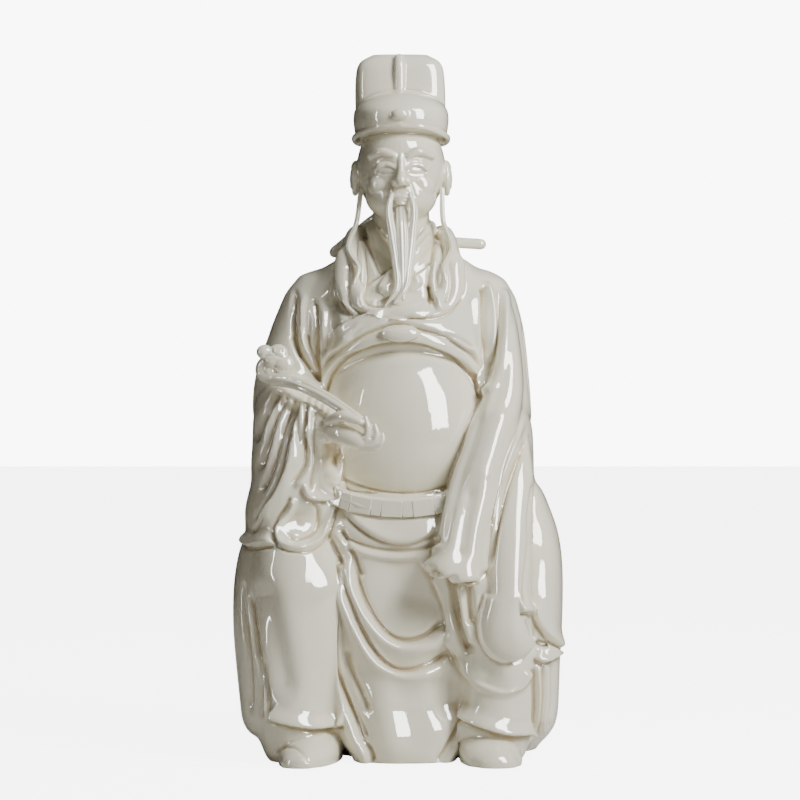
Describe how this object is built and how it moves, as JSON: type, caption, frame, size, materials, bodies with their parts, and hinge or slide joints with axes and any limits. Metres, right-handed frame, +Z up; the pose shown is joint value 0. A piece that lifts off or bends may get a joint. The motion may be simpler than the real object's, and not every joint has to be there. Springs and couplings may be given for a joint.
{
  "type": "seated deity statue",
  "caption": "Seated scholar deity in ivory-white glazed porcelain, with a winged cap, long beard, draped robes and a short curved sceptre, standing on its flat underside.",
  "frame": {"origin": "middle of the figure's box in plan, on the ground it stands on", "axes": "+Z up; the figure faces -Y; +X to the right of someone who faces it"},
  "size_m": [0.1634, 0.1338, 0.35],
  "materials": {
    "glazed_porcelain": "glazed ivory-white porcelain"
  },
  "bodies": {
    "root": {"seated_figure": "glazed_porcelain"}
  },
  "joints": []
}
